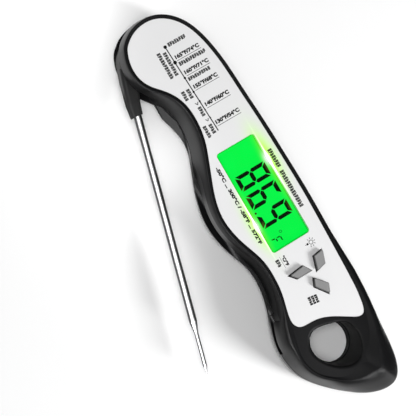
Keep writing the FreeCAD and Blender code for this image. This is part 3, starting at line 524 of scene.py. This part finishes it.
# ---------------------------------------------------------------- print and display pieces
class Sheet:
    """Flat shapes gathered into one thin piece; points are in mm on the face."""

    def __init__(self, name, material, z, body="handle", thickness=PRINT_THICKNESS, slot=None):
        self.name = name
        self.material = material
        self.z = z
        self.body = body
        self.thickness = thickness
        self.slot = slot
        self.form = bmesh.new()

    def polygon(self, points):
        low = [self.form.verts.new((x * MM, y * MM, self.z * MM)) for x, y in points]
        high = [self.form.verts.new((x * MM, y * MM, (self.z + self.thickness) * MM))
                for x, y in points]
        self.form.faces.new(high)
        self.form.faces.new(low[::-1])
        for i in range(len(points)):
            j = (i + 1) % len(points)
            self.form.faces.new((low[i], low[j], high[j], high[i]))

    def line(self, start, end, width):
        along = Vector((end[0] - start[0], end[1] - start[1])).normalized() * width / 2
        side = (-along.y, along.x)
        self.polygon([(point[0] + sign * side[0], point[1] + sign * side[1])
                      for point, sign in ((start, -1), (end, -1), (end, 1), (start, 1))])

    def disc(self, centre, radius, sides=24):
        self.polygon([(centre[0] + radius * math.cos(2 * math.pi * i / sides),
                       centre[1] + radius * math.sin(2 * math.pi * i / sides))
                      for i in range(sides)])

    def ring(self, centre, radius, width, sides=24):
        for i in range(sides):
            outline = []
            for r, k in ((radius, i), (radius, i + 1), (radius - width, i + 1),
                         (radius - width, i)):
                a = 2 * math.pi * k / sides
                outline.append((centre[0] + r * math.cos(a), centre[1] + r * math.sin(a)))
            self.polygon(outline)

    def finish(self):
        mesh = bpy.data.meshes.new(self.name)
        bmesh.ops.recalc_face_normals(self.form, faces=self.form.faces)
        self.form.to_mesh(mesh)
        self.form.free()
        mesh.materials.append(self.material)
        piece = bpy.data.objects.new(self.name, mesh)
        bpy.context.scene.collection.objects.link(piece)
        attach(piece, self.body)


def lettering(name, text, origin, angle, length, height):
    """Figures set in a plain face, fitted to a length and a height in mm."""
    curve = bpy.data.curves.new(name, "FONT")
    curve.body = text
    curve.size = 1.0
    curve.offset = 0.06
    curve.resolution_u = 4
    holder = bpy.data.objects.new(name + "_curve", curve)
    bpy.context.scene.collection.objects.link(holder)
    graph = bpy.context.evaluated_depsgraph_get()
    mesh = bpy.data.meshes.new_from_object(holder.evaluated_get(graph))
    bpy.data.objects.remove(holder)
    xs = [v.co.x for v in mesh.vertices]
    ys = [v.co.y for v in mesh.vertices]
    scale_x = length * MM / (max(xs) - min(xs))
    scale_y = height * MM / (max(ys) - min(ys))
    turn = math.radians(angle)
    for v in mesh.vertices:
        a = (v.co.x - min(xs)) * scale_x
        b = (v.co.y - min(ys)) * scale_y
        v.co.x = origin[0] * MM + a * math.cos(turn) - b * math.sin(turn)
        v.co.y = origin[1] * MM + a * math.sin(turn) + b * math.cos(turn)
        v.co.z = (PRINT_Z + PRINT_THICKNESS) * MM
    mesh.materials.clear()
    mesh.materials.append(ink)
    piece = bpy.data.objects.new(name, mesh)
    bpy.context.scene.collection.objects.link(piece)
    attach(piece, "handle")


ink = ink_material("print_black", (0.012, 0.012, 0.012))
grey_ink = ink_material("print_grey", (0.02, 0.02, 0.02))

# scale line with its marks
scale = Sheet("scale_marks", ink, PRINT_Z)
scale.line((-65.6, -1.4), (-30.1, 0.15), 0.4)
for place, radius in (((-65.6, -1.38), 0.66), ((-59.05, -1.06), 0.7), ((-52.5, -0.8), 0.46),
                      ((-46.6, -0.56), 0.42), ((-42.6, -0.36), 0.38), ((-39.0, -0.22), 0.32),
                      ((-35.6, -0.06), 0.32), ((-31.6, 0.1), 0.26)):
    scale.disc(place, radius)
for x, y0, y1 in ((-59.2, 0.0, 10.4), (-52.8, 0.2, 10.5), (-46.7, 0.3, 10.8), (-39.1, 0.7, 11.1),
                  (-31.6, 0.8, 11.2)):
    scale.line((x, y0), (x, y1), 0.17)
for x, y in ((-42.3, -1.7), (-35.4, -1.4)):
    for rise in (0.6, -0.6):
        scale.line((x - 0.45, y + rise), (x + 0.45, y), 0.28)
scale.finish()

# temperatures of the marks, across the handle, then the range and the unit sign along it
for warm, cool, x, y in ((165, 74, -59.8, -0.1), (160, 71, -53.4, 0.1), (155, 68, -47.3, 0.35),
                         (140, 60, -39.8, 0.8), (130, 54, -32.3, 0.8)):
    lettering(f"label_{warm}", f"{warm}°F/{cool}°C", (x, y), 90, 10.3, 1.6)
lettering("label_range", "-50°C ... 300°C / -58°F ... 572°F", (-18.9, -8.25), 0, 31.8, 1.5)
lettering("label_unit", "°C/°F", (20.7, -3.5), 0, 4.0, 1.45)


def stroke_word(sheet, start, angle, length, height):
    """Neutral row of strokes that stands where the original carries a word."""
    pitch = 0.95 if height > 1.2 else 0.8
    turn = math.radians(angle)
    along = Vector((math.cos(turn), math.sin(turn)))
    across = Vector((-along.y, along.x))
    for i in range(int(length / pitch)):
        for offset, share in ((0.2, 1.0), (0.62, 0.78 if i % 3 else 1.0)):
            lift = height * (1 - share) * (i % 2)
            foot = Vector(start) + along * (i + offset) * pitch + across * lift
            sheet.line(foot, foot + across * height * share, 0.36)


words = Sheet("stroke_rows", grey_ink, PRINT_Z)
for start, angle, length, height in (
        ((-65.0, -0.1), 90, 8.4, 1.5), ((-57.0, 0.0), 90, 11.6, 1.5), ((-50.7, 0.1), 90, 10.3, 1.4),
        ((-64.0, -3.5), 0, 9.5, 1.4), ((-64.8, -5.7), 0, 10.7, 1.5), ((-48.5, -2.9), 0, 4.3, 1.4),
        ((-48.6, -5.0), 0, 4.6, 1.4), ((-40.9, -2.4), 0, 3.9, 1.4), ((-33.6, -2.2), 0, 3.9, 1.4),
        ((-34.0, -4.5), 0, 4.8, 1.4), ((-15.0, 12.5), 0, 8.0, 1.7), ((-6.0, 12.4), 0, 16.1, 1.7),
        ((20.9, -6.3), 0, 3.4, 1.5), ((38.8, -0.1), -6, 3.9, 1.1), ((38.6, -1.4), -6, 3.9, 1.1),
        ((38.4, -2.7), -6, 3.9, 1.1)):
    stroke_word(words, start, angle, length, height)
words.finish()

# lamp symbol beside the light button, rule under the unit sign
symbol = Sheet("lamp_symbol", grey_ink, PRINT_Z)
bulb = Vector((21.9, 9.3))
symbol.ring(bulb, 0.85, 0.2)
for i in range(7):
    a = math.radians(-30 + 40 * i)
    ray = Vector((math.cos(a), math.sin(a)))
    symbol.line(bulb + ray * 1.15, bulb + ray * 1.8, 0.2)
symbol.polygon([(21.5, 8.1), (22.3, 8.1), (22.2, 7.3), (21.6, 7.3)])
symbol.polygon([(21.7, 7.1), (22.1, 7.1), (22.0, 6.8), (21.8, 6.8)])
symbol.line((20.5, -4.05), (24.9, -4.05), 0.1)
symbol.finish()

# figures of the display
SEGMENTS = {"8": "abcdefg", "6": "acdefg", "9": "abcdfg"}


def segment_shapes(left, right, bottom, top):
    """The seven segments of one figure as polygons, with mitred ends."""
    middle = (top + bottom) / 2 - 0.1
    gap = 0.16
    t = 1.6
    h = t / 2
    return {
        "a": [(left + gap + 0.3, top), (right - gap - 0.3, top), (right - t, top - t),
              (left + t, top - t)],
        "d": [(left + t, bottom + t), (right - t, bottom + t), (right - gap - 0.3, bottom),
              (left + gap + 0.3, bottom)],
        "g": [(left + h + gap, middle), (left + t + 0.1, middle + h),
              (right - t - 0.1, middle + h), (right - h - gap, middle),
              (right - t - 0.1, middle - h), (left + t + 0.1, middle - h)],
        "f": [(left, top - 0.35), (left + t - gap, top - t - gap),
              (left + t - gap, middle + h + gap), (left + h, middle + gap), (left, middle + h)],
        "e": [(left, bottom + 0.35), (left, middle - h), (left + h, middle - gap),
              (left + t - gap, middle - h - gap), (left + t - gap, bottom + t + gap)],
        "b": [(right, top - 0.35), (right, middle + h), (right - h, middle + gap),
              (right - t + gap, middle + h + gap), (right - t + gap, top - t - gap)],
        "c": [(right, bottom + 0.35), (right - t + gap, bottom + t + gap),
              (right - t + gap, middle - h - gap), (right - h, middle - gap), (right, middle - h)],
    }


def display_ink():
    """Almost black segments; the end ones let a little of the light through."""
    t = Tree("segments_black")
    _, y, _ = t.coordinates()
    ends = t.math("MAXIMUM", t.ramp(y, -1.3, -2.9), t.ramp(y, 8.6, 9.6))
    patch = t.math("MULTIPLY", ends, t.ramp(t.noise(260.0, 2.0), 0.4, 0.6))
    t.link(t.mix(patch, (0.002, 0.006, 0.002, 1), (0.03, 0.045, 0.004, 1)),
           t.shader.inputs["Base Color"])
    t.link(t.mix(patch, (0.0, 0.0, 0.0, 1), (0.035, 0.05, 0.004, 1)),
           t.shader.inputs["Emission Color"])
    t.shader.inputs["Emission Strength"].default_value = 0.6
    t.shader.inputs["Roughness"].default_value = 0.6
    t.shader.inputs["Specular IOR Level"].default_value = 0.05
    return t.material


segments = Sheet("display_figures", display_ink(), GLASS_PRINT_Z, slot="display")
for figure, left, right in (("8", -12.3, -6.4), ("6", -4.5, 1.25), ("9", 3.3, 9.2)):
    shapes = segment_shapes(left, right, -3.75 + VIEW_SHIFT, 9.35 + VIEW_SHIFT)
    for key in SEGMENTS[figure]:
        segments.polygon(shapes[key])
segments.disc((2.65, -3.45 + VIEW_SHIFT), 0.4, 12)
for stroke in (((14.3, 0.55), (16.0, 0.6), (15.8, 0.15), (14.5, 0.1)),
               ((14.0, 0.3), (14.45, 0.0), (14.3, -1.0), (13.95, -1.2)),
               ((14.3, -1.35), (15.3, -1.3), (15.4, -1.6), (15.2, -1.8), (14.3, -1.8)),
               ((13.85, -2.0), (14.3, -2.05), (14.2, -3.1), (13.75, -3.4))):
    segments.polygon([(x, y + VIEW_SHIFT) for x, y in stroke])
segments.finish()
faint = Sheet("degree_sign", ink_material("segments_faint", (0.0, 0.12, 0.03)), GLASS_PRINT_Z,
              slot="display")
faint.ring((12.8, 1.3 + VIEW_SHIFT), 0.55, 0.2, 16)
faint.finish()

# turning marks on the battery cover: an arrow and a dot each side of the coin slot
marks = Sheet("cover_marks", ink_material("print_pale", (0.45, 0.45, 0.45)), COVER_PRINT_Z,
              body="battery_cover", thickness=COVER_PRINT_THICKNESS)
for side in (-1, 1):
    x, y = COVER_CENTRE.xy
    marks.polygon([(x - 1.1, y + side * 5.0), (x + 1.1, y + side * 5.0), (x, y + side * 7.2)])
    marks.disc((x, y + side * 9.2), 0.5, 16)
marks.finish()
